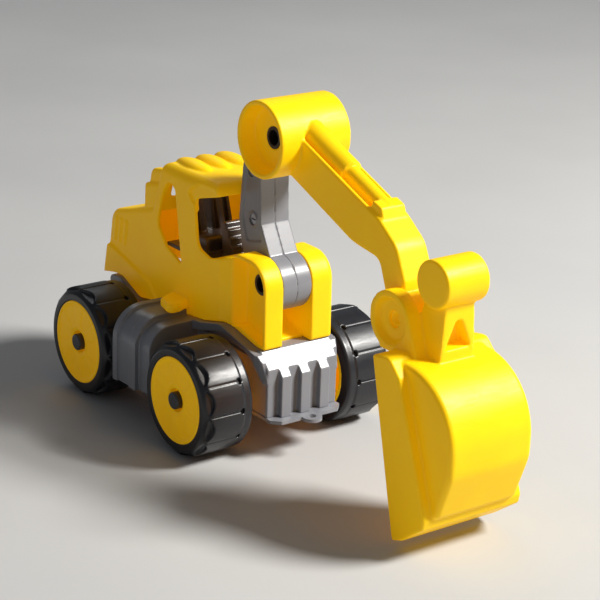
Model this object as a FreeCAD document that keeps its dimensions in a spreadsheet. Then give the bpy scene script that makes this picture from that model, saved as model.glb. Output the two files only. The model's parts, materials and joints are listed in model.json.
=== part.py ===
import FreeCAD, Part
import math
import os

from FreeCAD import Placement, Rotation, Vector

# Toy wheeled digger, a moulded plastic sand-pit toy.
# +X is forward (towards the bucket), +Y is the driver's left, +Z is up.
# The origin is on the ground, under the middle of the whole toy.
# Outlines are written from the centre of the front axle and moved by at().

SIZES = {
    # where the front axle stands, and the wheels
    "front_axle_x": -20.8, "wheelbase": 85.7, "tyre_radius": 26.4, "tyre_outer": 51.4, "tyre_inner": 26.4,
    "hub_radius": 20.0, "hub_recess": 5.4, "hub_recess_depth": 5.0, "tread_count": 12,
    "axle_radius": 2.0, "axle_end": 50.6, "bearing_gap": 0.06, "cap_radius": 4.0, "cap_end": 52.4,
    # chassis
    "block_half": 19.25, "plinth_half": 17.6, "chassis_low": -6.6, "base_thick": 1.6, "wall": 1.8,
    "boss_radius": 6.0, "boss_end": 26.1, "rib_width": 5.3, "rib_pitch": 10.6, "pod_outer": 49.0,
    "pod_rear": -57.5, "pod_front": -30.0, "pod_low": -9.4, "tow_radius": 4.6, "tow_hole": 2.0,
    "screw_radius": 1.5, "screw_head": 2.7,
    # body shell
    "body_half": 20.0, "ear_outer": 17.9, "ear_inner": 7.9, "ear_floor": 10.9, "ear_radius": 12.6,
    # digger arm
    "boom_x": 7.3, "boom_z": 49.4, "boom_half": 7.7, "boom_barrel": 12.8, "boom_eye": 12.6,
    "stick_x": 13.6, "stick_z": 118.4, "drum_radius": 17.2, "drum_half": 18.4, "drum_floor": 10.8,
    "drum_slot": 8.0, "drum_bore": 13.1, "stick_half": 8.0, "stick_eye": 10.6,
    "pin_radius": 4.9, "pin_bore": 3.5, "bucket_pin_radius": 3.6,
    # bucket
    "bucket_x": 103.1, "bucket_z": 63.5, "lug_radius": 12.7, "lug_outer": 15.0, "lug_inner": 8.3,
    "lug_floor": 12.2, "bucket_pin_end": 10.8,
    "rim_half": 26.0, "shell_half": 21.5, "grip_x": 124.1, "grip_z": 84.4, "grip_radius": 10.1,
    "grip_half": 10.9,
}

doc = FreeCAD.newDocument("toy_digger")
sheet = doc.addObject("Spreadsheet::Sheet", "dims")
for row, (alias, value) in enumerate(SIZES.items(), 1):
    sheet.set(f"A{row}", alias)
    sheet.set(f"B{row}", str(value))
    sheet.setAlias(f"B{row}", alias)
doc.recompute()

SUB_PARTS = []


# ---------------------------------------------------------------- building blocks

def at(x, z):
    """A point of the side view, from the front axle's centre to the part's own frame."""
    return x + sheet.front_axle_x, z + sheet.tyre_radius


def on_middle(x, z):
    """A point of the middle plane, from the front axle's centre to the part's own frame."""
    moved = at(x, z)
    return Vector(moved[0], 0, moved[1])


def shifted(points):
    """A side-view outline moved with at(); each point is (x, z) or (x, z, corner radius)."""
    return [at(point[0], point[1]) + tuple(point[2:]) for point in points]


def bind(item, **formulas):
    """Ties an object's properties to the sheet; a double underscore in a name is a dot."""
    for name, formula in formulas.items():
        item.setExpression(name.replace("__", "."), formula)
    return item


def rounded(points):
    """Lines and arcs of a closed outline whose corners may have a radius."""
    corners = [Vector(point[0], point[1], 0) for point in points]
    radii = [point[2] if len(point) > 2 else 0 for point in points]
    ends = []
    for index, corner in enumerate(corners):
        radius = radii[index]
        to_last = (corners[index - 1] - corner).normalize()
        to_next = (corners[(index + 1) % len(corners)] - corner).normalize()
        if radius == 0:
            ends.append((corner, None, corner))
            continue
        half = to_last.getAngle(to_next) / 2
        reach = radius / math.tan(half)
        centre = corner + (to_last + to_next).normalize() * (radius / math.sin(half))
        crest = centre + (corner - centre).normalize() * radius
        ends.append((corner + to_last * reach, crest, corner + to_next * reach))
    edges = []
    for index, (start, crest, end) in enumerate(ends):
        if crest is not None:
            edges.append(Part.Arc(start, crest, end))
        following = ends[(index + 1) % len(ends)][0]
        if end.distanceToPoint(following) > 1e-6:
            edges.append(Part.LineSegment(end, following))
    return edges


def sketch_in(body, plane, geometry, offset):
    """A sketch on one of the body's own origin planes, lifted by the formula offset."""
    sketch = body.newObject("Sketcher::SketchObject", body.Name + "_outline")
    base = [item for item in body.Origin.OriginFeatures if item.Role == plane][0]
    sketch.AttachmentSupport = [(base, "")]
    sketch.MapMode = "FlatFace"
    sketch.addGeometry(geometry)
    sketch.setExpression("AttachmentOffset.Base.z", offset)
    return sketch


def pad(name, plane, points, low, high, soften=0.0):
    """A padded outline between two heights, with softened rims where soften is given."""
    body = doc.addObject("PartDesign::Body", name)
    offset = f"-({high})" if plane == "XZ_Plane" else low
    sketch = sketch_in(body, plane, rounded(points), offset)
    feature = body.newObject("PartDesign::Pad", name + "_pad")
    feature.Profile = sketch
    bind(feature, Length=f"({high}) - ({low})")
    doc.recompute()
    if soften:
        soften_rims(body, feature, plane, soften)
    return body


def soften_rims(body, feature, plane, radius):
    """Rounds the edges that lie in the two end faces of a pad."""
    axis = {"XZ_Plane": "y", "XY_Plane": "z", "YZ_Plane": "x"}[plane]
    names = []
    for index, edge in enumerate(feature.Shape.Edges, 1):
        spots = [getattr(edge.valueAt(value), axis) for value in edge.ParameterRange]
        if abs(spots[0] - spots[1]) < 1e-6:
            names.append(f"Edge{index}")
    fillet = body.newObject("PartDesign::Fillet", body.Name + "_soft")
    fillet.Base = (feature, names)
    fillet.Radius = radius
    doc.recompute()


def side(name, points, low, high, soften=0.0):
    """A side-view outline padded across the toy, from low to high in Y."""
    return pad(name, "XZ_Plane", shifted(points), low, high, soften)


def plan(name, points, low, high, soften=0.0):
    """A plan outline (x from the front axle, y) padded in Z; heights are above the axle."""
    moved = [(point[0] + sheet.front_axle_x,) + tuple(point[1:]) for point in points]
    lift = "dims.tyre_radius + "
    return pad(name, "XY_Plane", moved, lift + f"({low})", lift + f"({high})", soften)


def across(name, points, low, high, soften=0.0):
    """A front-view outline (y, z above the axle) padded in X, from the front axle."""
    moved = [(point[0], point[1] + sheet.tyre_radius) + tuple(point[2:]) for point in points]
    lift = "dims.front_axle_x + "
    return pad(name, "YZ_Plane", moved, lift + f"({low})", lift + f"({high})", soften)


def rod(name, radius, low, high, x, z):
    """A cylinder along Y, centred at x and z from the front axle."""
    item = doc.addObject("Part::Cylinder", name)
    item.Placement = Placement(Vector(), Rotation(Vector(1, 0, 0), -90))
    bind(item, Radius=radius, Height=f"({high}) - ({low})",
         Placement__Base__x=f"dims.front_axle_x + ({x})", Placement__Base__y=low,
         Placement__Base__z=f"dims.tyre_radius + ({z})")
    return item


def end_pocket(name, mouth, floor, outer, inner, x, z):
    """A tapered pocket in a right-hand end face, for two radii and two distances across."""
    item = doc.addObject("Part::Cone", name)
    item.Placement = Placement(Vector(), Rotation(Vector(1, 0, 0), 90))
    bind(item, Radius1=floor, Radius2=mouth, Height=f"({outer}) - ({inner})",
         Placement__Base__x=f"dims.front_axle_x + ({x})", Placement__Base__y=f"-({inner})",
         Placement__Base__z=f"dims.tyre_radius + ({z})")
    return item


def post(name, radius, low, high, x, y):
    """A cylinder along Z, between two heights above the axle."""
    item = doc.addObject("Part::Cylinder", name)
    bind(item, Radius=radius, Height=f"({high}) - ({low})",
         Placement__Base__x=f"dims.front_axle_x + ({x})", Placement__Base__y=y,
         Placement__Base__z=f"dims.tyre_radius + ({low})")
    return item


def lying_post(name, radius, start, end, length):
    """A cylinder that starts at one point and runs towards another."""
    item = doc.addObject("Part::Cylinder", name)
    item.Radius = radius
    item.Height = length
    item.Placement = Placement(start, Rotation(Vector(0, 0, 1), end - start))
    return item


def block(name, x_span, y_span, z_span):
    """A box between three pairs of formulas; x and z are from the front axle."""
    item = doc.addObject("Part::Box", name)
    bind(item, Length=f"({x_span[1]}) - ({x_span[0]})", Width=f"({y_span[1]}) - ({y_span[0]})",
         Height=f"({z_span[1]}) - ({z_span[0]})",
         Placement__Base__x=f"dims.front_axle_x + ({x_span[0]})", Placement__Base__y=y_span[0],
         Placement__Base__z=f"dims.tyre_radius + ({z_span[0]})")
    return item


def fuse(name, *items):
    joined = doc.addObject("Part::MultiFuse", name)
    joined.Shapes = list(items)
    joined.Refine = True
    return joined


def common(name, *items):
    shared = doc.addObject("Part::MultiCommon", name)
    shared.Shapes = list(items)
    return shared


def cut(name, base, *tools):
    carved = doc.addObject("Part::Cut", name)
    carved.Base = base
    carved.Tool = tools[0] if len(tools) == 1 else fuse(name + "_tools", *tools)
    carved.Refine = True
    return carved


def mirrored(item):
    """The same piece on the other side of the toy's middle plane."""
    twin = doc.addObject("Part::Mirroring", item.Name + "_twin")
    twin.Source = item
    twin.Normal = Vector(0, 1, 0)
    return twin


def both(item):
    return [item, mirrored(item)]


def keep(item, label):
    """Marks a finished sub-part: its label names its file."""
    item.Label = label
    SUB_PARTS.append(item)
    return item


# ---------------------------------------------------------------- chassis

SCREW_SPOTS = [(-96.0, 13.0), (-96.0, -13.0), (-43.0, 13.0), (-43.0, -13.0), (12.0, 13.0), (12.0, -13.0)]


def pod_outline(shrink):
    """Rear view of a side pod: upright outer wall, quarter-round shoulder, flat top."""
    outer = -(sheet.pod_outer - shrink)
    top = 26.0 - shrink
    return [(-18.0, sheet.pod_low), (-18.0, top), (outer, top, 15.0 - shrink), (outer, sheet.pod_low)]


def make_pod():
    """The right-hand side pod between the wheels, an open-bottomed box with two flange bands."""
    steps = [("pod_rear_band", 0.0, "dims.pod_rear", "dims.pod_rear + 4"),
             ("pod_barrel", 1.3, "dims.pod_rear + 3", "dims.pod_front - 9"),
             ("pod_front_band", 0.5, "dims.pod_front - 14", "dims.pod_front - 8.5"),
             ("pod_nose", 3.0, "dims.pod_front - 9", "dims.pod_front")]
    solid = fuse("pod_solid", *[across(name, pod_outline(shrink), low, high)
                                for name, shrink, low, high in steps])
    inner = [(point[0], point[1] - (0.0 if index in (1, 2) else 2.0)) + tuple(point[2:])
             for index, point in enumerate(pod_outline(5.6))]
    hollow = across("pod_hollow", inner, "dims.pod_rear + dims.wall", "dims.pod_front - dims.wall")
    ribs = [block("pod_rib_cross", ("-44.5", "-43"), ("-46", "-18"), ("dims.pod_low + 1", "20")),
            block("pod_rib_long", ("dims.pod_rear", "dims.pod_front"), ("-33", "-31.5"),
                  ("dims.pod_low + 1", "20"))]
    seat = block("pod_seat", ("dims.pod_rear - 1", "dims.pod_front + 1"), ("-dims.body_half - 0.2", "-17"),
                 ("21.6", "27"))
    return fuse("pod", cut("pod_shell", solid, hollow, seat), *ribs)


def arch_band(name, points):
    """A mudguard lip on the chassis's right side, over a wheel."""
    return side(name, points, "-22.4", "-(dims.plinth_half - 1)")


def make_chassis_shell():
    trough = side("chassis_side", [(-104, -6.6, 3), (-105.5, 19.0, 3), (13.5, 19.0), (13.5, 23.3),
                                   (19.6, 23.3, 1), (25.8, 15.9, 1), (25.8, -6.6)],
                  "-dims.block_half", "dims.block_half", 0.8)
    plinth = block("chassis_plinth", ("-102", "14"), ("-dims.plinth_half", "dims.plinth_half"),
                   ("18", "21.4"))
    ribs = []
    for step in (-1, 0, 1):
        middle = f"{step} * dims.rib_pitch"
        ribs.append(side(f"nose_rib_{step + 1}", [(20.0, 20.0), (22.3, 20.06), (28.7, 12.45, 0.6),
                                                  (28.7, -6.6), (20.0, -6.6)],
                         middle + " - dims.rib_width / 2", middle + " + dims.rib_width / 2"))
    front_arch = arch_band("front_arch", [(-33, 18.0), (-36, 22.7), (-24.4, 24.0, 8), (-9, 28.0, 10),
                                          (22.4, 21.6), (26.3, 10.0), (23.5, 9.0), (17.5, 20.6, 12),
                                          (-9, 24.6, 12), (-22, 20.6, 6)])
    rear_arch = arch_band("rear_arch", [(-71, 17.0), (-78.3, 18.8, 3), (-85, 21.4, 4), (-90.3, 23.8, 4),
                                        (-95, 25.0, 5), (-104, 24.2, 3), (-104, 20.6), (-93, 21.0, 6),
                                        (-82, 17.4, 6)])
    pod = make_pod()
    bosses = []
    for name, x in (("front", "0"), ("rear", "-dims.wheelbase")):
        bosses.append(rod(name + "_boss", "dims.boss_radius", "-dims.boss_end", "dims.boss_end", x, "0"))
    outer = fuse("chassis_outer", trough, plinth, *ribs, *both(front_arch), *both(rear_arch), *both(pod),
                 *bosses)

    hollow = side("chassis_hollow", [(-102, -8), (-103.3, 17.2, 2), (12.0, 17.2), (17.8, 21.4), (23.9, 14.0),
                                     (23.9, -8)], "-(dims.block_half - dims.wall)",
                                     "dims.block_half - dims.wall")
    saddles = [block(name + "_saddle", (x + " - 4", x + " + 4"), ("-19", "19"), ("dims.chassis_low", "17.5"))
               for name, x in (("front", "0"), ("rear", "-dims.wheelbase"))]
    posts = [post(f"chassis_post_{index}", "dims.screw_head + 0.9", "dims.chassis_low", "18", str(x), str(y))
             for index, (x, y) in enumerate(SCREW_SPOTS)]
    shell = fuse("chassis_walls", cut("chassis_carved", outer, hollow), *saddles, *posts)

    slots = []
    for name, x in (("front", "0"), ("rear", "-dims.wheelbase")):
        slots.append(rod(name + "_axle_hole", "dims.axle_radius", "-30", "30", x, "0"))
        slots.append(block(name + "_axle_slot", (x + " - dims.axle_radius", x + " + dims.axle_radius"),
                           ("-17", "17"), ("dims.chassis_low - 1", "0")))
    holes = []
    for index, (x, y) in enumerate(SCREW_SPOTS):
        end = "22" if index in (2, 3) else "8"
        holes.append(post(f"chassis_pilot_{index}", "dims.screw_radius", "dims.chassis_low - 1", end,
                          str(x), str(y)))
    base_room = block("base_room", ("-60", "-28"), ("-dims.block_half - 0.1", "dims.block_half + 0.1"),
                      ("dims.pod_low - 1", "dims.chassis_low"))
    return keep(cut("chassis_finished", shell, base_room, *slots, *holes), "chassis_shell")


def make_chassis_base():
    plate = plan("base_plate", [(-104, -18.5, 3), (-60, -19.2), (27.0, -19.2), (28.6, -19.2, 1),
                                (32.4, -15.4, 1),
                                (32.4, 15.4, 1), (28.6, 19.2, 1), (-60, 19.2), (-104, 18.5, 3)],
                 "dims.chassis_low - dims.base_thick", "dims.chassis_low")
    tongue = post("tow_tongue", "dims.tow_radius", "dims.chassis_low - dims.base_thick", "dims.chassis_low",
                  "33.8", "0")
    feet = []
    for name, x in (("front", "0"), ("rear", "-dims.wheelbase")):
        feet.append(block(name + "_foot", (x + " - dims.axle_radius + 0.1", x + " + dims.axle_radius - 0.1"),
                          ("-16.5", "16.5"), ("dims.chassis_low - 0.2", "-0.2")))
    grooves = [rod(name + "_groove", "dims.axle_radius", "-20", "20", x, "0")
               for name, x in (("front", "0"), ("rear", "-dims.wheelbase"))]
    holes = [post("tow_hole", "dims.tow_hole", "-12", "0", "33.8", "0")]
    low = "dims.chassis_low - dims.base_thick"
    for index, (x, y) in enumerate(SCREW_SPOTS):
        holes.append(post(f"base_clear_{index}", "dims.screw_radius", "-12", "0", str(x), str(y)))
    pads = [post(f"base_pad_{index}", "dims.screw_head + 1.4", low + " - 0.8", low + " + 0.2", str(x), str(y))
            for index, (x, y) in enumerate(SCREW_SPOTS)]
    return keep(cut("base_finished", fuse("base_solid", plate, tongue, *feet, *pads), *grooves, *holes),
                "chassis_base")


def make_screw(name, x, y, tip):
    """A pan-head screw that stands head down, with a cross recess."""
    head_low = "dims.chassis_low - dims.base_thick - 2.4"
    seat = "dims.chassis_low - dims.base_thick - 0.8"
    head = post(name + "_head", "dims.screw_head", head_low, seat, x, y)
    shank = post(name + "_shank", "dims.screw_radius", seat, tip, x, y)
    slots = [block(name + "_slot_a", (x + " - 1.6", x + " + 1.6"), (y + " - 0.35", y + " + 0.35"),
                   (head_low, head_low + " + 0.8")),
             block(name + "_slot_b", (x + " - 0.35", x + " + 0.35"), (y + " - 1.6", y + " + 1.6"),
                   (head_low, head_low + " + 0.8"))]
    return cut(name, fuse(name + "_body", head, shank), *slots)


def make_chassis_screws():
    """Four short screws hold the base plate; two long ones reach up into the body shell."""
    short = [make_screw(f"base_screw_{index}", str(x), str(y), "8")
             for index, (x, y) in enumerate(SCREW_SPOTS) if index not in (2, 3)]
    long = [make_screw(f"body_screw_{index}", str(x), str(y), "29")
            for index, (x, y) in enumerate(SCREW_SPOTS) if index in (2, 3)]
    for label, screws in (("base_screws", short), ("body_screws", long)):
        group = doc.addObject("Part::Compound", label + "_group")
        group.Links = screws
        keep(group, label)


# ---------------------------------------------------------------- wheels

def ring(name, points):
    """A round piece about the Y axis; points are (radius, y, corner radius)."""
    body = doc.addObject("PartDesign::Body", name)
    sketch = sketch_in(body, "XY_Plane", rounded(points), "0")
    turn = body.newObject("PartDesign::Revolution", name + "_turn")
    turn.Profile = sketch
    turn.ReferenceAxis = (sketch, ["V_Axis"])
    turn.Angle = 360
    doc.recompute()
    return body


def spun(item, degrees):
    """A copy of a tool turned about the wheel's own axis."""
    copy = doc.addObject("Part::Compound", f"{item.Name}_{int(degrees * 10)}")
    copy.Links = [item]
    copy.Placement = Placement(Vector(), Rotation(Vector(0, 1, 0), degrees))
    return copy


def tool_box(name, centre, lengths):
    item = doc.addObject("Part::Box", name)
    item.Length, item.Width, item.Height = lengths
    item.Placement = Placement(centre - Vector(*lengths) * 0.5, Rotation())
    return item


def make_tyre():
    """A hard plastic tyre: twelve tread pads, a plain inner flange, a scalloped outer edge."""
    outer, inner = -sheet.tyre_outer, -sheet.tyre_inner
    radius, seat = sheet.tyre_radius, sheet.hub_radius
    hoop = ring("tyre_hoop", [(seat, outer), (23.2, outer, 0.5), (radius, outer + 2.6, 1.2),
                              (radius, inner - 4.9),
                              (radius - 0.5, inner - 4.7), (radius - 0.3, inner, 1.6), (seat, inner)])
    groove = tool_box("tread_groove", Vector(radius, (outer + inner) / 2 - 2.2, 0), (2.0, 20.6, 0.7))
    notch = tool_box("tread_notch", Vector(radius, inner - 5.7, 0), (4.0, 1.8, 2.6))
    bite = doc.addObject("Part::Cylinder", "tread_bite")
    bite.Radius, bite.Height = 7.0, 6
    bite.Placement = Placement(Vector(radius - 1.9, outer - 2.3, 0), Rotation(Vector(0, 1, 0), 90))
    pitch = 360 / sheet.tread_count
    tools = []
    for index in range(int(sheet.tread_count)):
        tools.append(spun(groove, index * pitch))
        tools.append(spun(notch, index * pitch))
        tools.append(spun(bite, (index + 0.5) * pitch))
    return cut("tyre_master", hoop, *tools)


def make_hub():
    """A wheel disc with six shallow fields, a sleeve for the axle and six ribs behind."""
    outer, inner = -sheet.tyre_outer, -sheet.tyre_inner
    seat, bore = sheet.hub_radius, sheet.axle_radius + sheet.bearing_gap
    recess, floor = sheet.hub_recess, outer + sheet.hub_recess_depth
    disc = ring("hub_disc", [(recess, outer + 0.9), (recess + 1.6, outer + 0.4, 0.4), (18.3, outer + 0.4,
                                                                                       0.3),
                             (18.9, outer, 0.3), (seat, outer, 0.4), (seat, inner), (seat - 1.8, inner),
                             (seat - 1.8, outer + 3.0, 0.6), (7.6, outer + 3.0, 0.6), (7.0, inner),
                             (bore, inner), (bore, floor), (recess, floor)])
    field = pad("hub_field", "XZ_Plane",
                [(7.9, -2.4, 0.8), (17.5, -5.6, 1.2), (18.0, 0, 0), (17.5, 5.6, 1.2), (7.9, 2.4, 0.8)],
                str(outer - 1), str(outer + 0.65))
    web = tool_box("hub_web", Vector(12.8, inner - 9, 0), (12.0, 14.0, 1.4))
    ribs = [spun(web, 30 + index * 60) for index in range(6)]
    fields = [spun(field, index * 60) for index in range(6)]
    return cut("hub_master", fuse("hub_ribbed", disc, *ribs), *fields)


def make_cap():
    """A push-on cap for the axle's end."""
    end, bore = -sheet.cap_end, sheet.axle_radius
    return ring("cap_master", [(0, end), (sheet.cap_radius, end, 0.8), (sheet.cap_radius, end + 5.8, 0.3),
                               (bore, end + 5.8), (bore, -sheet.axle_end), (0, -sheet.axle_end)])


def make_wheels():
    masters = {"tyre": make_tyre(), "hub": make_hub(), "axle_cap": make_cap()}
    corners = [("front_right", "0", 0), ("front_left", "0", 180),
               ("rear_right", "-dims.wheelbase", 0), ("rear_left", "-dims.wheelbase", 180)]
    for kind, master in masters.items():
        for corner, x, turn in corners:
            wheel = doc.addObject("Part::Compound", f"{kind}_{corner}_item")
            wheel.Links = [master]
            wheel.Placement = Placement(Vector(), Rotation(Vector(0, 0, 1), turn))
            bind(wheel, Placement__Base__x=f"dims.front_axle_x + ({x})",
                 Placement__Base__z="dims.tyre_radius")
            keep(wheel, f"{kind}_{corner}")
    for name, x in (("front_axle", "0"), ("rear_axle", "-dims.wheelbase")):
        keep(rod(name + "_rod", "dims.axle_radius", "-dims.axle_end", "dims.axle_end", x, "0"), name)


# ---------------------------------------------------------------- body shell and cab

def make_body_outer():
    """Bonnet, cab pillars, cantilever roof and the two ears that carry the arm."""
    outline = [(-113.6, 14), (-107.0, 56.0, 8), (-75.5, 64.8, 2), (-69.6, 66.4, 3), (-64.6, 83.0, 12),
               (-61.6, 90.6, 6), (-16.2, 90.6, 5), (-15.4, 58.6, 3), (-5.0, 59.6, 3), (-2.2, 62.4, 4),
               (20.2, 62.4, 12.4), (20.9, 14)]
    prism = side("body_side", outline, "-dims.body_half", "dims.body_half", 2.6)
    return common("body_rounded", prism, roof_section("roof_section", sheet.body_half, 91.0, 6.0))


def roof_section(name, half, top, radius):
    """Front view of everything under the roof: upright sides and well rounded roof edges."""
    return across(name, [(-half, 0), (-half, top, radius), (half, top, radius), (half, 0)], "-120", "30")


def make_body_shell():
    outer = make_body_outer()
    roof_bulges = []
    for step in (-1, 0, 1):
        bulge = doc.addObject("Part::Ellipsoid", f"roof_bulge_{step + 1}")
        bulge.Radius1, bulge.Radius2, bulge.Radius3 = 4.2, 13.5, 5.2
        bulge.Placement = Placement(on_middle(-48.5, 89.4) + Vector(0, 10.6 * step, 0), Rotation())
        roof_bulges.append(bulge)
    tower_low = side("tower_low", [(-70, 56), (-79.2, 56), (-78.4, 76.4, 1.5), (-66, 78.6)],
                     "-dims.body_half + 1", "-12", 1.4)
    tower_high = side("tower_high", [(-68, 58), (-77.4, 58), (-76.6, 78, 1), (-75.2, 84.0, 4), (-62, 86.4)],
                      "-dims.body_half + 2.6", "-12.6", 1.6)
    skirt = side("skirt", [(-113.2, 18), (-109.2, 38.6, 2), (-104.6, 37.8, 4), (-72.0, 29.6, 3),
                           (-64.0, 22.4), (-64.0, 14)], "-dims.body_half - 1.3", "-18", 0.7)
    louvres = [side(f"louvre_{index}", [(-104.6 + 4.5 * index, 41.0, 0.6), (-102.5 + 4.5 * index, 53.4, 0.6),
                                        (-100.7 + 4.5 * index, 54.0, 0.6), (-102.6 + 4.5 * index, 41.6, 0.6)],
                    "-dims.body_half - 0.8", "-18") for index in range(3)]
    step = plan("side_step", [(-52, -18), (-50.5, -22, 3), (-46.0, -30.4, 4), (-33.4, -33.2, 3),
                              (-34.0, -26.5, 3), (-38.5, -18)], "26.4", "30.8", 1.4)
    sides = [skirt, step] + louvres
    solid = fuse("body_solid", outer, tower_low, tower_high, *roof_bulges, *sides,
                 *[mirrored(item) for item in sides])

    ground = side("body_trim", [(-120, 10), (-120, 22.3), (-112, 22.9), (-102.5, 25.0, 6), (-94.5, 25.6, 6),
                                (-78.3, 19.3, 8), (-66, 21.6, 4), (-45, 22.2), (-36, 23.2), (-24.4, 24.4, 8),
                                (-9, 28.4, 10), (14, 23.6), (30, 23.6), (30, 10)], "-40", "40")
    waist = plan("waist_trim", [(-13, -20.1), (-3, -17.9, 8), (30, -17.9), (30, -40), (-13, -40)], "0", "100")
    gap = side("ear_gap", [(-17.8, 60.0), (-9.0, 36.2, 3), (2.1, 27.8, 4), (13.3, 24.3), (13.3, 10), (40, 10),
                           (40, 80), (-17.8, 80)], "-dims.ear_inner", "dims.ear_inner")
    gap_floor = side("gap_floor", [(-11.7, 38.0), (-9.2, 36.2), (2.1, 27.8, 4), (13.3, 24.3), (13.3, 22.4),
                                   (1.6, 25.9), (-11.7, 35.4)], "-dims.ear_inner - 0.5",
                                   "dims.ear_inner + 0.5")
    pocket_side = side("pocket_side", [(-12, 26), (-12, 60.3, 3), (18.4, 60.3, 10.5), (19.2, 24.4, 1.5),
                                       (0, 28.6, 4)], "-20", "-dims.ear_floor")
    pocket_plan = plan("pocket_plan", [(-7.0, -21), (-4.6, -17.9), (-2.4, -10), (24, -10), (24, -21)],
                       "0", "100")
    pocket = common("ear_pocket", pocket_side, pocket_plan)
    pin_hole = rod("boom_pin_hole", "dims.pin_radius", "-30", "30", "dims.boom_x", "dims.boom_z")
    front_opening = side("front_opening", [(-34.2, 79.7, 2), (-31.0, 57.6, 6), (-21.0, 55.2, 6),
                                           (-10.0, 58.0),
                                           (-7.0, 70.0), (-7.0, 88.0), (-13.0, 85.9)], "-30", "30")
    rear_window = side("rear_window", [(-50.2, 79.8, 3), (-55.5, 84.0, 4), (-61.0, 75.5, 8), (-65.6, 60.0, 6),
                                       (-57.6, 50.6, 5), (-44.3, 45.4, 0.8)], "-30", "-10")
    hollow_prism = side("body_hollow", [(-112, 8), (-105.4, 54.0, 6), (-75.0, 62.6), (-68.2, 64.4),
                                        (-62.6, 83.0, 10), (-60.4, 88.4, 3), (-18.2, 88.4), (-18.2, 84.8),
                                        (-14, 84.8), (-14, 62), (-19.8, 58.6), (-11.6, 34.0), (-11.6, 8)],
                        "-(dims.body_half - dims.wall)", "dims.body_half - dims.wall")
    inside = roof_section("hollow_section", sheet.body_half - sheet.wall - 0.9, 88.4, 4.5)
    below = block("hollow_below", ("-120", "30"), ("-20", "20"), ("0", "74"))
    hollow_rear = common("body_hollow_rounded", hollow_prism, fuse("hollow_limits", inside, below))
    hollow_front = side("nose_hollow", [(-12, 8), (-12, 35.4), (-11.7, 35.4), (1.6, 25.9), (13.6, 22.3),
                                        (13.6, 8)], "-dims.ear_inner - 1.1", "dims.ear_inner + 1.1")
    rear_opening = across("rear_opening", [(-11.8, 71.4, 2), (-11.8, 82.0, 3), (11.8, 82.0, 3),
                                           (11.8, 71.4, 2)],
                          "-80", "-58")
    arch = side("window_arch", [(-35.6, 77.6), (-39.6, 82.4, 2), (-31.0, 87.4, 9), (-21.0, 88.4, 6),
                                (-14.0, 85.8, 1), (-12, 77.6)], "-dims.body_half - 5",
                                "-dims.body_half + 1.0")
    carved = cut("body_carved", solid, ground, waist, *both(pocket), *both(arch), gap, pin_hole, rear_window,
                 rear_opening, front_opening, hollow_rear, hollow_front)
    posts = [post(f"body_post_{index}", "dims.screw_head + 0.9", "21.4", "47.6", str(x), str(y))
             for index, (x, y) in enumerate(SCREW_SPOTS) if index in (2, 3)]
    webs = [block("body_web_right", ("-43.8", "-42.2"), ("-19", "-11"), ("24", "46")),
            block("body_web_left", ("-43.8", "-42.2"), ("11", "19"), ("24", "46"))]
    pilots = [post(f"body_pilot_{index}", "dims.screw_radius", "20", "29", str(x), str(y))
              for index, (x, y) in enumerate(SCREW_SPOTS) if index in (2, 3)]
    return keep(cut("body_finished", fuse("body_walls", carved, gap_floor, *posts, *webs), *pilots),
                "body_shell")


def make_cab_insert():
    """Floor, seat and a stepped console, moulded in one and standing on the chassis."""
    floor = block("cab_floor", ("-60", "-19.5"), ("-17.8", "17.8"), ("50.4", "52.2"))
    legs = [block(f"cab_leg_{index}", ("-58", "-24"), (low, high), ("21.4", "51"))
            for index, (low, high) in enumerate([("-8.5", "-6.9"), ("6.9", "8.5")])]
    cushion = side("seat_cushion", [(-50.0, 51), (-50.0, 58.0), (-35.5, 59.0, 2.4), (-35.5, 51)],
                   "-11", "11", 1.2)
    backrest = side("seat_back", [(-54.5, 51), (-59.6, 78.0, 1.6), (-55.4, 79.0, 1.6), (-49.4, 52)],
                    "-11.2", "11.2", 1.0)
    bolsters = [side(f"seat_bolster_{index}", [(-51.0, 57), (-57.0, 77.0, 0.8), (-53.0, 76.6, 1.6),
                                               (-46.6, 57)],
                     low, high, 0.6)
                for index, (low, high) in enumerate([("-11.2", "-9.4"), ("-6.9", "-3.4"), ("3.4", "6.9"),
                                                     ("9.4", "11.2")])]
    steps = [(-19.8, 51), (-30.0, 51), (-32.6, 67.4, 1.2), (-28.2, 68.2, 1.0)]
    for index in range(4):
        top = 65.2 - 3.6 * index
        steps += [(-27.6 + 2.0 * index, top, 0.4), (-26.0 + 2.0 * index, top - 0.4, 0.4)]
    console = side("console", steps, "-6.5", "6.5", 0.3)
    return keep(fuse("cab_insert_solid", floor, *legs, cushion, backrest, *bolsters, console), "cab_insert")


# ---------------------------------------------------------------- digger arm

BOOM_SCREWS = [(-5.4, 76.0), (-7.2, 98.0)]

# the cranked web between the lower barrel and the upper eye
BOOM_OUTLINE = [(-5.0, 45.5), (-13.4, 62.5, 3), (-15.8, 75.0, 8), (-13.6, 99.0, 14), (-11.5, 108.0, 8),
                (2.6, 123.0), (9.0, 107.4), (0.4, 95.6, 4), (1.4, 75.6, 1.2), (9.0, 62.0)]


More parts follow.
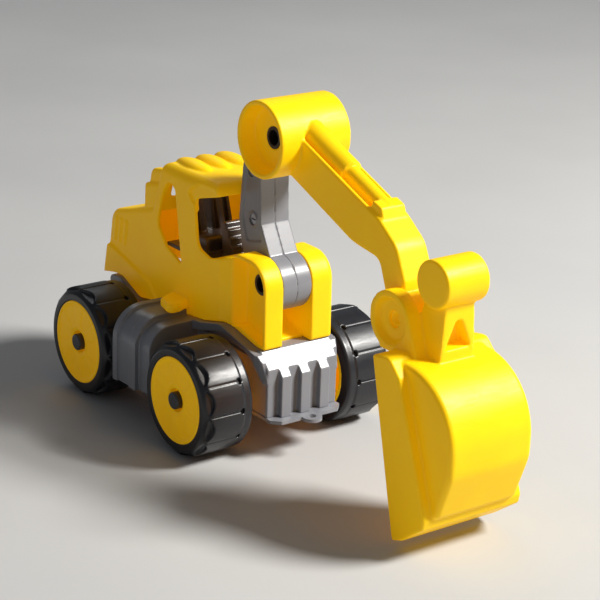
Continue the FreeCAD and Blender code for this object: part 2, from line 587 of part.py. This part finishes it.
def make_boom_half(name, low, high, well_low, well_high, face_low, face_high):
    """One moulded half of the boom; the two halves meet on the middle plane."""
    web = side(name + "_web", BOOM_OUTLINE, low, high)
    barrel = rod(name + "_barrel", "dims.boom_barrel", low, high, "dims.boom_x", "dims.boom_z")
    eye = rod(name + "_eye", "dims.boom_eye", low, high, "dims.stick_x", "dims.stick_z")
    solid = fuse(name + "_solid", web, barrel, eye)
    well = side(name + "_well", [(-10.6, 66, 2), (-13.2, 76.0, 5), (-11.2, 98.0, 8), (-8.5, 107.0, 4),
                                 (-2.4, 112.2, 1), (2.4, 105.4, 1), (-2.2, 95.6, 3), (-1.6, 76.0, 2),
                                 (1.0, 66, 2)],
                well_low, well_high)
    panel = side(name + "_panel", [(-9.4, 64.5, 2), (-13.6, 75.5, 5), (-11.7, 97.0, 8), (-10.6, 104.0, 1),
                                   (-1.6, 98.6, 1), (-1.6, 76.6, 2), (2.4, 67.4, 1)], face_low, face_high)
    shell = cut(name + "_shell", solid, well, panel)
    bosses = [rod(f"{name}_boss_{index}", "dims.screw_head + 0.6", low, high, str(x), str(z))
              for index, (x, z) in enumerate(BOOM_SCREWS)]
    holes = [rod(name + "_barrel_hole", "dims.pin_radius + dims.bearing_gap", "-9", "9", "dims.boom_x",
                 "dims.boom_z"),
             rod(name + "_eye_hole", "dims.pin_radius + dims.bearing_gap", "-9", "9", "dims.stick_x",
                 "dims.stick_z")]
    for index, (x, z) in enumerate(BOOM_SCREWS):
        holes.append(rod(f"{name}_pilot_{index}", "dims.screw_radius", "-9", "dims.boom_half - 1.6",
                         str(x), str(z)))
        holes.append(rod(f"{name}_sink_{index}", "dims.screw_head", "-9", "-dims.boom_half + 2.6", str(x),
                         str(z)))
    return keep(cut(name + "_finished", fuse(name + "_walls", shell, *bosses), *holes), name)


def make_boom():
    make_boom_half("boom_shell_right", "-dims.boom_half", "0", "-dims.boom_half + 2.4", "1", "-9",
                   "-dims.boom_half + 0.7")
    make_boom_half("boom_shell_left", "0", "dims.boom_half", "-1", "dims.boom_half - 2.4",
                   "dims.boom_half - 0.7", "9")
    screws = []
    for index, (x, z) in enumerate(BOOM_SCREWS):
        head = rod(f"boom_screw_head_{index}", "dims.screw_head - 0.1", "-dims.boom_half + 0.8",
                   "-dims.boom_half + 2.6", str(x), str(z))
        shank = rod(f"boom_screw_shank_{index}", "dims.screw_radius", "-dims.boom_half + 2.6",
                    "dims.boom_half - 1.6", str(x), str(z))
        slot = block(f"boom_screw_slot_{index}", (f"{x} - 1.6", f"{x} + 1.6"),
                     ("-dims.boom_half + 0.7", "-dims.boom_half + 1.5"), (f"{z} - 0.35", f"{z} + 0.35"))
        screws.append(cut(f"boom_screw_{index}", fuse(f"boom_screw_body_{index}", head, shank), slot))
    group = doc.addObject("Part::Compound", "boom_screws_group")
    group.Links = screws
    keep(group, "boom_screws")


def make_pins():
    """Hollow snap-in pins for the boom and the stick, and a solid one for the bucket."""
    for label, end, x, z in (("boom_pin", "dims.ear_floor", "dims.boom_x", "dims.boom_z"),
                             ("stick_pin", "dims.drum_floor", "dims.stick_x", "dims.stick_z")):
        tube = rod(label + "_tube", "dims.pin_radius", f"-{end}", end, x, z)
        bore = rod(label + "_bore", "dims.pin_bore", f"-{end} - 1", f"{end} + 1", x, z)
        keep(cut(label + "_cut", tube, bore), label)
    rivet = rod("bucket_rivet", "dims.bucket_pin_radius", "-dims.bucket_pin_end", "dims.bucket_pin_end",
                "dims.bucket_x", "dims.bucket_z")
    dimples = both(end_pocket("bucket_dimple", "2.6", "1.6", "dims.bucket_pin_end",
                              "dims.bucket_pin_end - 1.2", "dims.bucket_x", "dims.bucket_z"))
    keep(cut("bucket_pin_cut", rivet, *dimples), "bucket_pin")


def make_stick():
    """Drum with open end pockets, the bent arm, and a relief ram lying in its top."""
    drum = rod("drum", "dims.drum_radius", "-dims.drum_half", "dims.drum_half", "dims.stick_x",
               "dims.stick_z")
    arm = side("arm", [(20.0, 125.0), (84.6, 100.6, 12), (96.6, 92.0, 12), (103.0, 78.5), (104.6, 66.0),
                       (93.2, 60.6), (90.4, 72.0, 10), (85.8, 83.6, 6), (71.0, 85.4, 4), (66.0, 86.4, 3),
                       (16.0, 105.8)],
               "-dims.stick_half", "dims.stick_half", 1.0)
    eye = rod("stick_eye", "dims.stick_eye", "-dims.stick_half", "dims.stick_half", "dims.bucket_x",
              "dims.bucket_z")
    solid = fuse("stick_solid", drum, arm, eye)
    pockets = both(end_pocket("drum_pocket", "dims.drum_radius - 2.1", "dims.drum_radius - 3.6",
                              "dims.drum_half", "dims.drum_floor", "dims.stick_x", "dims.stick_z"))
    cavity = rod("drum_cavity", "dims.drum_bore", "-dims.drum_slot", "dims.drum_slot", "dims.stick_x",
                 "dims.stick_z")
    slot = side("drum_slot", [(13.6, 118.4), (-7.6, 152.3), (-40, 152.3), (-40, 70), (33.1, 70)],
                "-dims.drum_slot", "dims.drum_slot")
    trough = side("ram_trough", [(30.6, 130.0), (29.0, 119.4, 1), (76.4, 101.2, 1), (79.0, 106.0),
                                 (84.0, 118.0)],
                  "-6.2", "6.2")
    dish = lying_post("ram_dish", 4.9, on_middle(74.2, 98.9), on_middle(78.8, 111.2), 12)
    holes = [rod("stick_pin_hole", "dims.pin_radius", "-20", "20", "dims.stick_x", "dims.stick_z"),
             rod("stick_eye_hole", "dims.bucket_pin_radius + dims.bearing_gap", "-20", "20", "dims.bucket_x",
                 "dims.bucket_z")]
    carved = cut("stick_carved", solid, *pockets, cavity, slot, trough, dish, *holes)
    start, end = on_middle(27.0, 123.0), on_middle(82.0, 102.0)
    reach = (end - start).Length
    rams = [lying_post("ram_barrel", 5.0, start, end, reach * 0.52),
            lying_post("ram_rod", 3.4, start, end, reach)]
    clevis = side("ram_clevis", [(76.4, 100.0), (78.0, 106.6, 1), (84.0, 104.6, 1), (87.0, 97.0)],
                  "-6.4", "6.4", 0.6)
    joined = fuse("stick_joined", carved, *rams, clevis)
    clear = rod("drum_clear", "dims.drum_bore", "-dims.drum_slot", "dims.drum_slot", "dims.stick_x",
                "dims.stick_z")
    return keep(cut("stick_finished", joined, clear), "stick")


# ---------------------------------------------------------------- bucket

def make_bucket():
    """A deep bucket: straight rim frame, bulged shell, two lugs, and a grip on a rib frame."""
    rim = side("bucket_rim", [(106.9, 52.4, 0.6), (117.5, 54.4, 4), (124.6, 47.6, 2.5), (144.6, -7.4, 1.2),
                              (143.8, -11.4, 1.2), (130.5, -21.3, 3), (124.7, -23.3, 0.8)],
               "-dims.rim_half", "dims.rim_half", 0.5)
    bulge = side("bucket_bulge", bulge_outline(0.0), "-dims.shell_half", "dims.shell_half", 2.2)
    lug_eye = rod("lug_eye", "dims.lug_radius", "-dims.lug_outer", "-dims.lug_inner", "dims.bucket_x",
                  "dims.bucket_z")
    lug_foot = side("lug_foot", [(90.6, 66.0), (98.0, 50.6), (108.0, 50.6), (122.0, 51.0), (115.0, 68.0)],
                    "-dims.lug_outer", "-dims.lug_inner")
    lug_pocket = end_pocket("lug_pocket", "dims.lug_radius - 2.6", "dims.lug_radius - 4.2",
                            "dims.lug_outer", "dims.lug_floor", "dims.bucket_x", "dims.bucket_z")
    lugs = both(cut("lug", fuse("lug_solid", lug_eye, lug_foot), lug_pocket))
    grip = rod("grip", "dims.grip_radius", "-dims.grip_half", "dims.grip_half", "dims.grip_x", "dims.grip_z")
    frame = across("grip_frame", [(-9.4, 50), (-7.2, 84, 2), (7.2, 84, 2), (9.4, 50)], "113.8", "129.2")
    frame_side = side("grip_frame_side", [(113.8, 48.0), (114.2, 66.0), (116.6, 80.0), (130.6, 80.0),
                                          (129.0, 48.0)],
                      "-12", "12")
    frame_hollow = across("grip_frame_hollow", [(-6.4, 57), (0, 72.0, 2), (6.4, 57)], "122.6", "140")
    web = cut("grip_web", common("grip_wedge", frame, frame_side), frame_hollow)
    rim_mouth = side("bucket_mouth", [(103.0, 50.2), (116.4, 51.6, 3), (122.6, 46.6, 2), (142.4, -8.0, 1),
                                      (129.9, -18.9, 2), (120.0, -21.0)], "-dims.rim_half + 2",
                                      "dims.rim_half - 2")
    shell_mouth = side("bucket_shell_mouth", bulge_outline(2.0), "-dims.shell_half + 2",
                       "dims.shell_half - 2", 1.0)
    body = fuse("bucket_solid", rim, bulge)
    carved = cut("bucket_carved", body, rim_mouth, shell_mouth)
    clear = rod("bucket_clear", "dims.stick_eye + 0.5", "-dims.lug_inner", "dims.lug_inner", "dims.bucket_x",
                "dims.bucket_z")
    hole = rod("bucket_pin_hole", "dims.bucket_pin_radius", "-20", "20", "dims.bucket_x", "dims.bucket_z")
    return keep(cut("bucket_finished", fuse("bucket_joined", carved, *lugs, grip, web), clear, hole),
                "bucket")


def bulge_outline(inset):
    """Side view of the bulged shell: one long arc between the rim's top and its lower edge."""
    return [(110.0 + inset, 52.4 - inset), (153.8 - inset, 52.6 - inset, 30.0 - inset * 0.5),
            (153.8 - inset, 14.0, 18), (146.5 - inset, -6.4 + inset, 2), (128.0, -14.0), (116.0, 10.0)]


# ---------------------------------------------------------------- writing out

def check_and_write():
    doc.recompute()
    faults = [item.Name for item in doc.Objects if "Invalid" in item.State or "Error" in item.State]
    for item in SUB_PARTS:
        if item.Shape.isNull() or not item.Shape.isValid() or not item.Shape.Solids:
            faults.append(item.Label)
    if faults:
        raise SystemExit("not written, faults in: " + ", ".join(faults))
    os.makedirs("parts", exist_ok=True)
    for item in SUB_PARTS:
        item.Shape.exportStep(f"parts/{item.Label}.step")
        box = item.Shape.BoundBox
        solids = len(item.Shape.Solids)
        spans = f"x {box.XMin:.1f} {box.XMax:.1f}  y {box.YMin:.1f} {box.YMax:.1f}"
        print(f"{item.Label:22s} {solids} solid(s) {item.Shape.Volume:9.0f} mm3  {spans}  "
              f"z {box.ZMin:.1f} {box.ZMax:.1f}")


make_chassis_shell()
make_chassis_base()
make_chassis_screws()
make_wheels()
make_body_shell()
make_cab_insert()
make_boom()
make_pins()
make_stick()
make_bucket()
check_and_write()
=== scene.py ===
import json
import math

import bmesh
import bpy
from mathutils import Matrix, Vector


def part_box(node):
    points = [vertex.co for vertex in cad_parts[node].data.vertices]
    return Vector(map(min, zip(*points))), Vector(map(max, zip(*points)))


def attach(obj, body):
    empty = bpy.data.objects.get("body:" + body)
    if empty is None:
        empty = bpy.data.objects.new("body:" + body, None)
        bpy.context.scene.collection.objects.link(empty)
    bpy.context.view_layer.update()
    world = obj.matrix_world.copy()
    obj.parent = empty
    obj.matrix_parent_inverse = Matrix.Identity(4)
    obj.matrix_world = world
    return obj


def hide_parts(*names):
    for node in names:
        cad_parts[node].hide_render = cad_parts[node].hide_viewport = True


# Looks of the toy wheeled digger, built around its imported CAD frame. Metres, +X to the bucket, +Y to the
# driver's left, +Z up. Moulded parts are softened copies of their CAD nodes: a voxel remesh, a few rounds
# of smoothing for the moulding radii, then a decimation. Every other part shows its own CAD node.

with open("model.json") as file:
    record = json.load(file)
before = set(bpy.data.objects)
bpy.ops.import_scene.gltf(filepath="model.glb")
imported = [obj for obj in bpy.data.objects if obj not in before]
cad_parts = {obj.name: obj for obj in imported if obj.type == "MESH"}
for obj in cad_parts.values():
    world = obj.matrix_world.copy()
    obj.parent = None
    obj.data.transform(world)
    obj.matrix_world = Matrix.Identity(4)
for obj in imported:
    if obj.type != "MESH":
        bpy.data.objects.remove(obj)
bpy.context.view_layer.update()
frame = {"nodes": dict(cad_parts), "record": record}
MM = 0.001
CORNERS = ("front_right", "front_left", "rear_right", "rear_left")

# Camera: angles in degrees, azimuth 0 at -Y; place and distance in metres; lens and sensor in mm.
CAMERA_AZIMUTH, CAMERA_ELEVATION, CAMERA_ROLL = 53.47, 19.58, 1.86
CAMERA_TARGET = Vector((0.0058, -0.0034, 0.0732))
CAMERA_DISTANCE = 0.880
CAMERA_LENS, CAMERA_SENSOR = 120.0, 36.0

# Disc lights: azimuth and elevation in degrees, distance and width in metres, watts, colour.
LIGHTS = {
    "key": (134.0, 45.0, 1.6, 0.40, 39.0, (1.0, 0.975, 0.93)),
    "fill": (10.0, 20.0, 2.0, 1.6, 0.5, (0.85, 0.92, 1.0)),
    "rim": (250.0, 45.0, 1.9, 1.0, 3.0, (0.92, 0.96, 1.0)),
}
SKY_COLOUR, SKY_STRENGTH = (0.80, 0.84, 0.90, 1.0), 0.14
FLOOR_HALF_WIDTH = 4.0
FLOOR_COLOURS = (0.52, 0.52, 0.52), (0.56, 0.56, 0.555)
FLOOR_ROUGHNESS = 0.85

# Softening: voxel in mm, rounds of smoothing, share of faces left.
SOFTENED = {
    "body_shell": (0.5, 4, 0.2),
    "chassis_shell": (0.35, 1, 0.15),
    "bucket": (0.5, 9, 0.2),
    "stick": (0.5, 7, 0.2),
    "cab_insert": (0.4, 2, 0.2),
    "boom_shell_right": (0.4, 2, 0.25),
    "boom_shell_left": (0.4, 2, 0.25),
}
WHEEL_PARTS = {
    "tyre": (0.4, 3, 0.25),
    "hub": (0.35, 1, 0.2),
    "axle_cap": (0.2, 2, 0.3),
}
NORMALS_WEIGHT = 60

# Linear colours: the plastic; its lighter edges, which are rubbed wear and on the cab plastic a painted
# highlight;
# its tone in hollows, a painted shade where darker and dust where lighter; and for the yellow a painted glow,
# an emission that stands in for light through its thin walls on the shaded sides. Gloss is the mean
# roughness, coat the weight of the shiny skin.
PLASTICS = {
    # Yellow: its glow colour is an emission, a painted glow that brightens its shaded sides.
    "yellow_plastic": {"colour": (0.95, 0.65, 0.002), "wear_and_highlight": (0.95, 0.78, 0.06), "dust_and_shade": (0.70, 0.42, 0.01),
                       "gloss": 0.42, "coat": 0.0, "painted_glow": (1.0, 0.42, 0.0)},
    "grey_plastic": {"colour": (0.235, 0.245, 0.275), "wear_and_highlight": (0.36, 0.37, 0.40),
                     "dust_and_shade": (0.16, 0.16, 0.165), "gloss": 0.33, "coat": 0.25},
    # The cab insert is the grey plastic; this dark brown copy paints the shade inside the cab and the yellow
    # light bounced onto it.
    "cab_painted_shade_plastic": {"colour": (0.060, 0.050, 0.050), "wear_and_highlight": (0.16, 0.15, 0.15),
                    "dust_and_shade": (0.04, 0.035, 0.035), "gloss": 0.30, "coat": 0.3},
    "tyre_plastic": {"colour": (0.0105, 0.0115, 0.016), "wear_and_highlight": (0.030, 0.032, 0.040),
                     "dust_and_shade": (0.016, 0.017, 0.021), "gloss": 0.36, "coat": 0.1},
    "black_plastic": {"colour": (0.010, 0.009, 0.009), "wear_and_highlight": (0.03, 0.03, 0.03),
                      "dust_and_shade": (0.02, 0.02, 0.02), "gloss": 0.45, "coat": 0.0},
    "cap_plastic": {"colour": (0.035, 0.038, 0.048), "wear_and_highlight": (0.08, 0.08, 0.09),
                    "dust_and_shade": (0.03, 0.03, 0.035), "gloss": 0.33, "coat": 0.2},
}
# Colour and least roughness.
STEELS = {
    "axle_steel": ((0.62, 0.63, 0.65), 0.25),
    "screw_steel": ((0.42, 0.42, 0.44), 0.32),
}
# Thin-wall settings for the yellow: specular and subsurface, and an emission strength that paints a glow on
# its shaded sides.
THIN_WALL_AND_PAINTED_GLOW_SOCKETS = {
    "Specular IOR Level": 0.25,
    "Subsurface Weight": 0.15,
    "Subsurface Scale": 0.002,
    "Emission Strength": 0.20,
}
# Noise scales in features per metre, and the depths of the bumps in metres.
CLOUD_SCALE, PATCH_SCALE, DUST_AND_SHADE_SCALE, SCUFF_SCALE, STEEL_LINE_SCALE = 38.0, 210.0, 120.0, 95.0, 900.0
GRAIN_SCALE, GRAIN_DEPTH = 2600.0, 0.000012
WAVE_SCALE, WAVE_DEPTH = 60.0, 0.00005
STEEL_LINE_DEPTH = 0.00001
EDGE_WEAR_AND_HIGHLIGHT_SHARE, DUST_AND_SHADE_SHARE = 0.35, 0.30
COAT_ROUGHNESS = 0.18


# ---------------------------------------------------------------- materials

class Nodes:
    """A material under construction: nodes by type, linked by name."""

    def __init__(self, name):
        self.material = bpy.data.materials.new(name)
        self.material.use_nodes = True
        self.tree = self.material.node_tree
        self.shader = self.tree.nodes["Principled BSDF"]
        self.place = self.add("ShaderNodeTexCoord").outputs["Object"]

    def add(self, kind, **settings):
        node = self.tree.nodes.new(kind)
        for key, value in settings.items():
            setattr(node, key, value)
        return node

    def link(self, output, socket):
        self.tree.links.new(output, socket)

    def noise(self, scale, detail=3.0, roughness=0.5, stretch=None):
        """Noise by place on the object; scale is in features per metre."""
        node = self.add("ShaderNodeTexNoise")
        node.inputs["Scale"].default_value = scale
        node.inputs["Detail"].default_value = detail
        node.inputs["Roughness"].default_value = roughness
        place = self.place
        if stretch:
            mapping = self.add("ShaderNodeMapping")
            mapping.inputs["Scale"].default_value = stretch
            self.link(place, mapping.inputs["Vector"])
            place = mapping.outputs["Vector"]
        self.link(place, node.inputs["Vector"])
        return node.outputs["Fac"]

    def spread(self, value, low, high, to_low=0.0, to_high=1.0):
        """Maps a value from one range to another, clamped."""
        node = self.add("ShaderNodeMapRange")
        for socket, number in zip(("From Min", "From Max", "To Min", "To Max"), (low, high, to_low, to_high)):
            node.inputs[socket].default_value = number
        self.link(value, node.inputs["Value"])
        return node.outputs["Result"]

    def mix(self, factor, first, second):
        """Mixes two colours, each a tuple or an output."""
        node = self.add("ShaderNodeMix", data_type="RGBA")
        for socket, colour in ((node.inputs[6], first), (node.inputs[7], second)):
            if isinstance(colour, tuple):
                socket.default_value = (*colour, 1.0)
            else:
                self.link(colour, socket)
        self.link(factor, node.inputs[0])
        return node.outputs[2]

    def times(self, first, second):
        node = self.add("ShaderNodeMath", operation="MULTIPLY")
        self.link(first, node.inputs[0])
        if isinstance(second, float):
            node.inputs[1].default_value = second
        else:
            self.link(second, node.inputs[1])
        return node.outputs[0]

    def bumps(self, *layers):
        """Stacks bump layers, each (height, depth in metres)."""
        normal = None
        for height, depth in layers:
            node = self.add("ShaderNodeBump")
            node.inputs["Strength"].default_value = 1.0
            node.inputs["Distance"].default_value = depth
            self.link(height, node.inputs["Height"])
            if normal:
                self.link(normal, node.inputs["Normal"])
            normal = node.outputs["Normal"]
        self.link(normal, self.shader.inputs["Normal"])


def plastic(name, colour, wear_and_highlight, dust_and_shade, gloss, coat, painted_glow=None):
    """Moulded plastic: cloudy colour, lighter edges (rubbed wear, on the cab plastic a painted highlight), a
    darker tone in hollows as painted shade (lighter dust on tyre and black plastic), an optional painted
    glow, fine scratches and mould grain.
    """
    nodes = Nodes(name)
    clouds = nodes.spread(nodes.noise(CLOUD_SCALE, 4.0), 0.3, 0.7)
    deeper = tuple(channel * 0.90 for channel in colour)
    base = nodes.mix(clouds, deeper, colour)
    curve = nodes.add("ShaderNodeNewGeometry").outputs["Pointiness"]
    # Lighter convex edges: rubbed wear, and on the dark cab plastic a painted highlight along the seat's
    # edges.
    patchy = nodes.spread(nodes.noise(PATCH_SCALE, 5.0), 0.42, 0.62)
    rubbed_and_highlit = nodes.times(nodes.spread(curve, 0.515, 0.58), patchy)
    base = nodes.mix(nodes.times(rubbed_and_highlit, EDGE_WEAR_AND_HIGHLIGHT_SHARE), base, wear_and_highlight)
    # Hollows: darker for the yellow, grey, cab and cap plastics, a painted shade; lighter for the tyre and
    # black plastics, as dust.
    hollow = nodes.times(nodes.spread(curve, 0.49, 0.43),
                         nodes.spread(nodes.noise(DUST_AND_SHADE_SCALE, 5.0), 0.35, 0.7))
    base = nodes.mix(nodes.times(hollow, DUST_AND_SHADE_SHARE), base, dust_and_shade)
    nodes.link(base, nodes.shader.inputs["Base Color"])
    scuffs = nodes.noise(SCUFF_SCALE, 6.0, 0.7, (1.0, 1.0, 7.0))
    nodes.link(nodes.spread(scuffs, 0.3, 0.75, gloss - 0.05, gloss + 0.12), nodes.shader.inputs["Roughness"])
    nodes.bumps((nodes.noise(GRAIN_SCALE, 2.0), GRAIN_DEPTH), (nodes.noise(WAVE_SCALE, 2.0), WAVE_DEPTH))
    nodes.shader.inputs["Coat Weight"].default_value = coat
    nodes.shader.inputs["Coat Roughness"].default_value = COAT_ROUGHNESS
    # Painted glow: the emission brightens the shaded sides, as light through thin walls would.
    if painted_glow:
        nodes.shader.inputs["Emission Color"].default_value = (*painted_glow, 1.0)
        for socket, value in THIN_WALL_AND_PAINTED_GLOW_SOCKETS.items():
            nodes.shader.inputs[socket].default_value = value
    return nodes.material


def steel(name, colour, roughness):
    """Drawn or plated steel with fine lines along its length."""
    nodes = Nodes(name)
    lines = nodes.noise(STEEL_LINE_SCALE, 3.0, 0.6, (1.0, 0.05, 1.0))
    darker = tuple(channel * 0.8 for channel in colour)
    nodes.link(nodes.mix(nodes.spread(lines, 0.3, 0.7), darker, colour), nodes.shader.inputs["Base Color"])
    nodes.shader.inputs["Metallic"].default_value = 1.0
    nodes.link(nodes.spread(lines, 0.3, 0.7, roughness, roughness + 0.15), nodes.shader.inputs["Roughness"])
    nodes.bumps((lines, STEEL_LINE_DEPTH))
    return nodes.material


MATERIALS = {name: plastic(name, **look) for name, look in PLASTICS.items()}
MATERIALS.update((name, steel(name, *look)) for name, look in STEELS.items())
SLOT_OF = {row["node"]: row["material_slot"] for row in frame["record"]["subparts"]}


def paint(piece, node):
    piece.data.materials.clear()
    # The cab insert gets the dark brown painted-shade copy of the grey plastic instead of its own slot's
    # material.
    piece.data.materials.append(MATERIALS["cab_painted_shade_plastic" if node == "cab_insert" else SLOT_OF[node]])


for node_name, node_object in frame["nodes"].items():
    paint(node_object, node_name)


# ---------------------------------------------------------------- moulded pieces

def claim(piece, node):
    """The piece rides with the node's body and stands for the node."""
    body = next(name for name, members in frame["record"]["behaviour"]["bodies"].items() if node in members)
    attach(piece, body)
    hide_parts(node)


def middle_of(node):
    return sum((Vector(corner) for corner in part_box(node)), Vector()) / 2


def softened(node, voxel, rounds, keep, cutters=()):
    """A copy of a CAD node with moulded radii; voxel in mm, keep is the share of faces left."""
    piece = bpy.data.objects.new(node + "_moulded", frame["nodes"][node].data.copy())
    bpy.context.scene.collection.objects.link(piece)
    for cutter in cutters:
        trim = piece.modifiers.new("trim", "BOOLEAN")
        trim.operation = "DIFFERENCE"
        trim.solver = "EXACT"
        trim.object = cutter
    remesh = piece.modifiers.new("remesh", "REMESH")
    remesh.mode = "VOXEL"
    remesh.voxel_size = voxel * MM
    remesh.use_smooth_shade = True
    smooth = piece.modifiers.new("round", "SMOOTH")
    smooth.factor = 0.5
    smooth.iterations = rounds
    thin = piece.modifiers.new("thin", "DECIMATE")
    thin.ratio = keep
    normals = piece.modifiers.new("normals", "WEIGHTED_NORMAL")
    normals.weight = NORMALS_WEIGHT
    evaluated = piece.evaluated_get(bpy.context.evaluated_depsgraph_get())
    mesh = bpy.data.meshes.new_from_object(evaluated)
    piece.modifiers.clear()
    piece.data = mesh
    paint(piece, node)
    claim(piece, node)
    return piece


def prism(name, corners, depth):
    """A solid between two copies of an outline; corners and depth are points and a step in mm from the
    middle of the front axle."""
    middle = middle_of("front_axle")
    count = len(corners)
    points = [middle + Vector(corner) * MM for corner in corners]
    points += [point + Vector(depth) * MM for point in points]
    faces = [tuple(range(count)), tuple(reversed(range(count, 2 * count)))]
    faces += [(i, i + count, (i + 1) % count + count, (i + 1) % count) for i in range(count)]
    mesh = bpy.data.meshes.new(name)
    mesh.from_pydata(points, [], faces)
    turned_out = bmesh.new()
    turned_out.from_mesh(mesh)
    bmesh.ops.recalc_face_normals(turned_out, faces=turned_out.faces)
    turned_out.to_mesh(mesh)
    turned_out.free()
    solid = bpy.data.objects.new(name, mesh)
    bpy.context.scene.collection.objects.link(solid)
    return solid


def mudguard_cutters():
    """Solids that take the front mudguards' ends down to the slope of the front block and its corners."""
    slope = [(19.6, 23.35), (25.85, 15.9), (25.85, 2.0), (40.0, 2.0), (40.0, 40.0), (19.6, 40.0)]
    corner = [(19.0, 22.6), (25.85, 19.3), (40.0, 19.3), (40.0, 30.0), (19.0, 30.0)]
    outside_ribs, past_mudguard, past_top = 14.0, 12.0, 40.0
    cutters = []
    for turn in (1, -1):
        above_slope = [(x, outside_ribs * turn, z) for x, z in slope]
        beside_block = [(x, y * turn, 0.0) for x, y in corner]
        cutters.append(prism("slope_cutter", above_slope, (0.0, past_mudguard * turn, 0.0)))
        cutters.append(prism("corner_cutter", beside_block, (0.0, 0.0, past_top)))
    return cutters


trimmers = mudguard_cutters()
for node_name, (voxel, rounds, keep) in SOFTENED.items():
    softened(node_name, voxel, rounds, keep, trimmers if node_name == "chassis_shell" else ())
for trimmer in trimmers:
    bpy.data.objects.remove(trimmer)


def copied(master, master_node, node, turn):
    """The same moulding at another wheel: turned about Z and moved to that node's box."""
    piece = bpy.data.objects.new(node + "_moulded", master.data)
    bpy.context.scene.collection.objects.link(piece)
    turned = Matrix.Rotation(turn, 4, "Z")
    shift = middle_of(node) - turned @ middle_of(master_node)
    piece.matrix_world = Matrix.Translation(shift) @ turned
    claim(piece, node)


for kind, (voxel, rounds, keep) in WHEEL_PARTS.items():
    first = f"{kind}_{CORNERS[0]}"
    master_piece = softened(first, voxel, rounds, keep)
    for corner in CORNERS[1:]:
        copied(master_piece, first, f"{kind}_{corner}", math.pi if corner.endswith("left") else 0.0)


# ---------------------------------------------------------------- stage, lights, camera

def make_floor():
    mesh = bpy.data.meshes.new("floor")
    half = FLOOR_HALF_WIDTH
    corners = [(-half, -half, 0), (half, -half, 0), (half, half, 0), (-half, half, 0)]
    mesh.from_pydata(corners, [], [(0, 1, 2, 3)])
    floor = bpy.data.objects.new("floor", mesh)
    bpy.context.scene.collection.objects.link(floor)
    nodes = Nodes("floor_paper")
    clouds = nodes.spread(nodes.noise(6.0), 0.3, 0.7)
    nodes.link(nodes.mix(clouds, *FLOOR_COLOURS), nodes.shader.inputs["Base Color"])
    nodes.shader.inputs["Roughness"].default_value = FLOOR_ROUGHNESS
    mesh.materials.append(nodes.material)


def direction(azimuth, elevation):
    """Unit vector towards a place seen at that azimuth and elevation; azimuth 0 is at -Y."""
    a, e = math.radians(azimuth), math.radians(elevation)
    return Vector((math.sin(a) * math.cos(e), -math.cos(a) * math.cos(e), math.sin(e)))


def soft_light(name, azimuth, elevation, distance, size, watts, colour):
    data = bpy.data.lights.new(name, "AREA")
    data.shape, data.size, data.energy, data.color = "DISK", size, watts, colour
    lamp = bpy.data.objects.new(name, data)
    lamp.location = direction(azimuth, elevation) * distance
    lamp.rotation_euler = direction(azimuth, elevation).to_track_quat("Z", "Y").to_euler()
    bpy.context.scene.collection.objects.link(lamp)


def make_lights():
    for name, settings in LIGHTS.items():
        soft_light(name, *settings)
    world = bpy.data.worlds.new("studio")
    world.use_nodes = True
    world.node_tree.nodes["Background"].inputs["Color"].default_value = SKY_COLOUR
    world.node_tree.nodes["Background"].inputs["Strength"].default_value = SKY_STRENGTH
    bpy.context.scene.world = world


def make_camera():
    back = direction(CAMERA_AZIMUTH, CAMERA_ELEVATION)
    right = Vector((0, 0, 1)).cross(back).normalized()
    up = back.cross(right)
    roll = math.radians(CAMERA_ROLL)
    turned_right = right * math.cos(roll) + up * math.sin(roll)
    turned_up = up * math.cos(roll) - right * math.sin(roll)
    data = bpy.data.cameras.new("camera")
    data.lens, data.sensor_width = CAMERA_LENS, CAMERA_SENSOR
    data.clip_start, data.clip_end = 0.01, 50.0
    camera = bpy.data.objects.new("camera", data)
    camera.matrix_world = Matrix.Translation(CAMERA_TARGET + back * CAMERA_DISTANCE) @ Matrix(
        (turned_right, turned_up, back)).transposed().to_4x4()
    bpy.context.scene.collection.objects.link(camera)
    bpy.context.scene.camera = camera


make_floor()
make_lights()
make_camera()
bpy.context.scene.view_settings.view_transform = "Standard"
